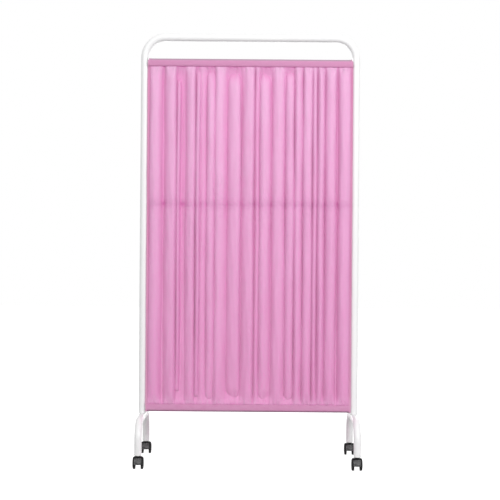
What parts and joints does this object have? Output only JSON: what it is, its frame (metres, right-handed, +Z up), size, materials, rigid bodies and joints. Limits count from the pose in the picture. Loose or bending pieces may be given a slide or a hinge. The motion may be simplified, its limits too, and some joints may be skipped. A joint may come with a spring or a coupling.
{
  "type": "ward privacy screen",
  "caption": "Upright one-panel privacy screen: a bent tube frame on arched feet with twin-wheel castors, holding a gathered cloth curtain between two rods.",
  "frame": {"origin": "on the floor, at the middle of the footprint of the whole screen", "axes": "+Z up; +X to the right of someone facing the front; the front, where the curtain hangs forward of the posts' middles, looks towards -Y; the castors trail towards +Y"},
  "size_m": [0.934, 0.458, 1.8],
  "materials": {
    "white_paint": "smooth semi-gloss powder coat",
    "steel": "zinc plated, satin",
    "white_plastic": "moulded, matt",
    "black_nylon": "moulded nylon, satin",
    "tread_rubber": "moulded, matt",
    "pink_cloth": "soft plain weave, slightly see-through"
  },
  "bodies": {
    "frame": {"frame_tube": "white_paint", "middle_rail": "white_paint", "foot_left": "white_paint", "foot_right": "white_paint", "foot_screw_left": "steel", "foot_screw_right": "steel", "curtain_rod_top": "white_paint", "curtain_rod_bottom": "white_paint", "rod_plug_top_left": "white_plastic", "rod_bracket_top_left": "white_paint", "rod_plug_top_right": "white_plastic", "rod_bracket_top_right": "white_paint", "rod_plug_bottom_left": "white_plastic", "rod_bracket_bottom_left": "white_paint", "rod_plug_bottom_right": "white_plastic", "rod_bracket_bottom_right": "white_paint", "curtain": "pink_cloth", "front_left_leg_socket": "white_plastic", "front_left_castor_stem": "steel", "front_right_leg_socket": "white_plastic", "front_right_castor_stem": "steel", "rear_left_leg_socket": "white_plastic", "rear_left_castor_stem": "steel", "rear_right_leg_socket": "white_plastic", "rear_right_castor_stem": "steel"},
    "front_left_castor": {"front_left_castor_housing": "black_nylon", "front_left_castor_axle": "steel"},
    "front_right_castor": {"front_right_castor_housing": "black_nylon", "front_right_castor_axle": "steel"},
    "rear_left_castor": {"rear_left_castor_housing": "black_nylon", "rear_left_castor_axle": "steel"},
    "rear_right_castor": {"rear_right_castor_housing": "black_nylon", "rear_right_castor_axle": "steel"},
    "front_left_left_wheel": {"front_left_castor_left_wheel": "black_nylon", "front_left_castor_left_tread": "tread_rubber"},
    "front_left_right_wheel": {"front_left_castor_right_wheel": "black_nylon", "front_left_castor_right_tread": "tread_rubber"},
    "front_right_left_wheel": {"front_right_castor_left_wheel": "black_nylon", "front_right_castor_left_tread": "tread_rubber"},
    "front_right_right_wheel": {"front_right_castor_right_wheel": "black_nylon", "front_right_castor_right_tread": "tread_rubber"},
    "rear_left_left_wheel": {"rear_left_castor_left_wheel": "black_nylon", "rear_left_castor_left_tread": "tread_rubber"},
    "rear_left_right_wheel": {"rear_left_castor_right_wheel": "black_nylon", "rear_left_castor_right_tread": "tread_rubber"},
    "rear_right_left_wheel": {"rear_right_castor_left_wheel": "black_nylon", "rear_right_castor_left_tread": "tread_rubber"},
    "rear_right_right_wheel": {"rear_right_castor_right_wheel": "black_nylon", "rear_right_castor_right_tread": "tread_rubber"}
  },
  "joints": [
    {"name": "front_left_swivel", "type": "hinge", "parent": "frame", "child": "front_left_castor", "pos_m": [-0.444, -0.214, 0.055], "axis": [0, 0, 1], "continuous": true},
    {"name": "front_right_swivel", "type": "hinge", "parent": "frame", "child": "front_right_castor", "pos_m": [0.444, -0.214, 0.055], "axis": [0, 0, 1], "continuous": true},
    {"name": "rear_left_swivel", "type": "hinge", "parent": "frame", "child": "rear_left_castor", "pos_m": [-0.444, 0.186, 0.055], "axis": [0, 0, 1], "continuous": true},
    {"name": "rear_right_swivel", "type": "hinge", "parent": "frame", "child": "rear_right_castor", "pos_m": [0.444, 0.186, 0.055], "axis": [0, 0, 1], "continuous": true},
    {"name": "front_left_left_wheel_spin", "type": "hinge", "parent": "front_left_castor", "child": "front_left_left_wheel", "pos_m": [-0.444, -0.196, 0.025], "axis": [1, 0, 0], "continuous": true},
    {"name": "front_left_right_wheel_spin", "type": "hinge", "parent": "front_left_castor", "child": "front_left_right_wheel", "pos_m": [-0.444, -0.196, 0.025], "axis": [1, 0, 0], "continuous": true},
    {"name": "front_right_left_wheel_spin", "type": "hinge", "parent": "front_right_castor", "child": "front_right_left_wheel", "pos_m": [0.444, -0.196, 0.025], "axis": [1, 0, 0], "continuous": true},
    {"name": "front_right_right_wheel_spin", "type": "hinge", "parent": "front_right_castor", "child": "front_right_right_wheel", "pos_m": [0.444, -0.196, 0.025], "axis": [1, 0, 0], "continuous": true},
    {"name": "rear_left_left_wheel_spin", "type": "hinge", "parent": "rear_left_castor", "child": "rear_left_left_wheel", "pos_m": [-0.444, 0.204, 0.025], "axis": [1, 0, 0], "continuous": true},
    {"name": "rear_left_right_wheel_spin", "type": "hinge", "parent": "rear_left_castor", "child": "rear_left_right_wheel", "pos_m": [-0.444, 0.204, 0.025], "axis": [1, 0, 0], "continuous": true},
    {"name": "rear_right_left_wheel_spin", "type": "hinge", "parent": "rear_right_castor", "child": "rear_right_left_wheel", "pos_m": [0.444, 0.204, 0.025], "axis": [1, 0, 0], "continuous": true},
    {"name": "rear_right_right_wheel_spin", "type": "hinge", "parent": "rear_right_castor", "child": "rear_right_right_wheel", "pos_m": [0.444, 0.204, 0.025], "axis": [1, 0, 0], "continuous": true}
  ]
}
